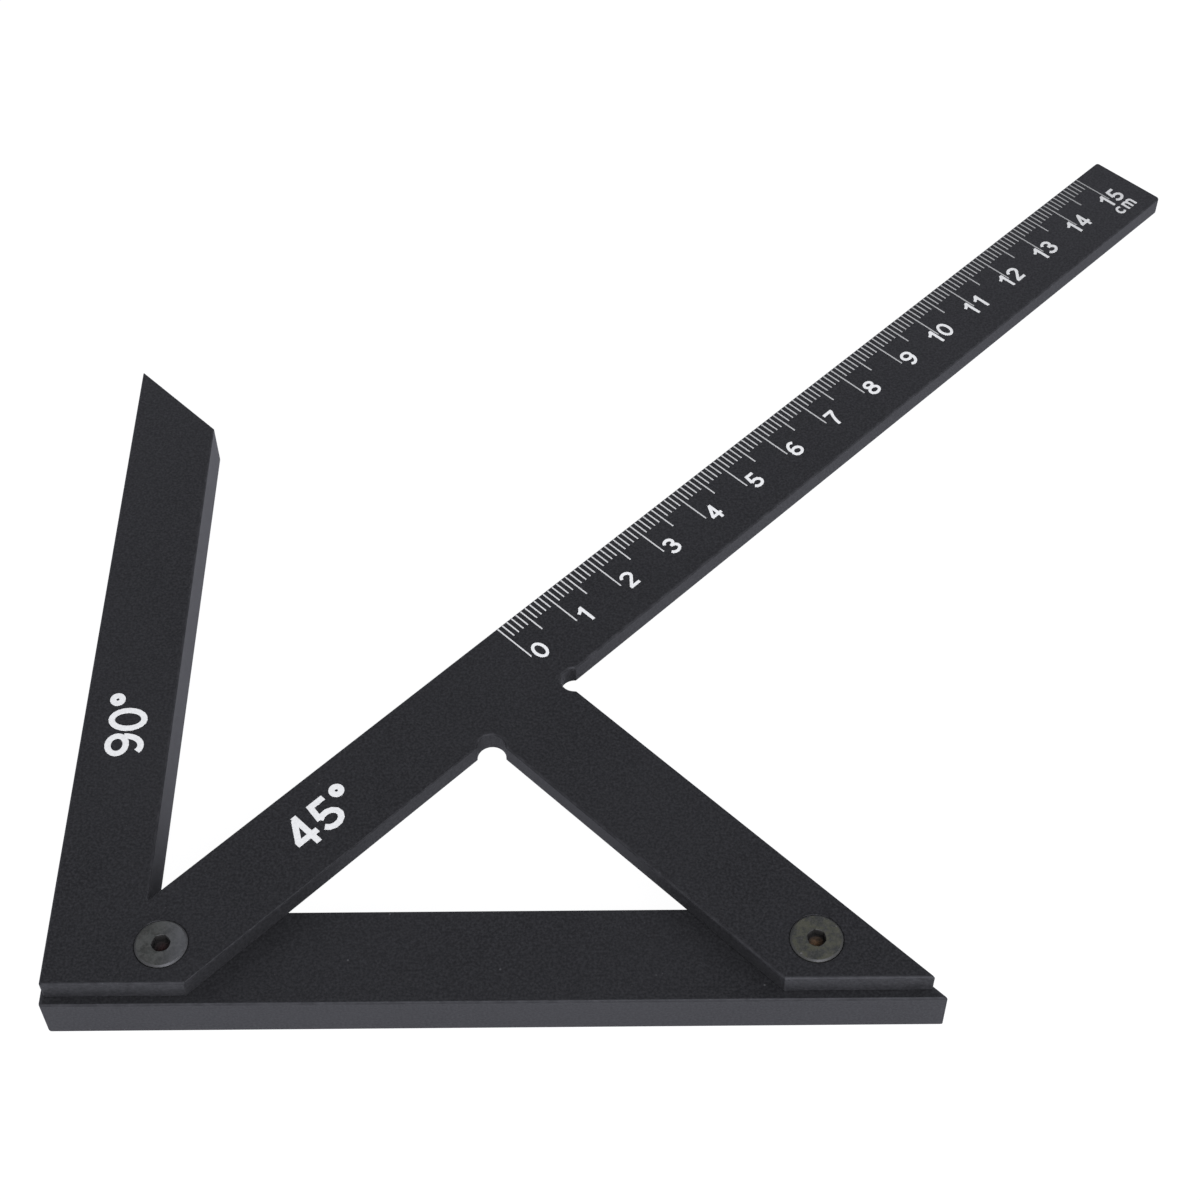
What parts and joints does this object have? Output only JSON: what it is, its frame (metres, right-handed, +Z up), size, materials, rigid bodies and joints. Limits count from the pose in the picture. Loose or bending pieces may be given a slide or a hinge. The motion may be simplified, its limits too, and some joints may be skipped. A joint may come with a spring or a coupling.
{
  "type": "centre square",
  "caption": "Centre-finding square: a right-angled pair of fences under a 45 degree graduated ruler blade with a brace, held by countersunk screws.",
  "frame": {"origin": "inside corner where the two fences meet, at the level of the resting face", "axes": "+X along the fence bar away from the corner, +Y along the fence arm away from the corner, +Z up from the resting face to the printed face of the blade"},
  "size_m": [0.1843, 0.1748, 0.0119],
  "materials": {
    "anodised": "black anodised over a fine bead-blasted surface, satin",
    "screw_steel": "black oxide worn to dull grey, a little rust in the sockets",
    "marking": "matt white marking layer"
  },
  "bodies": {
    "root": {"frame": "anodised", "fence_bar": "anodised", "corner_screw": "screw_steel", "end_screw": "screw_steel", "scale_lines": "marking", "scale_numerals": "marking", "angle_figures": "marking"}
  },
  "joints": []
}
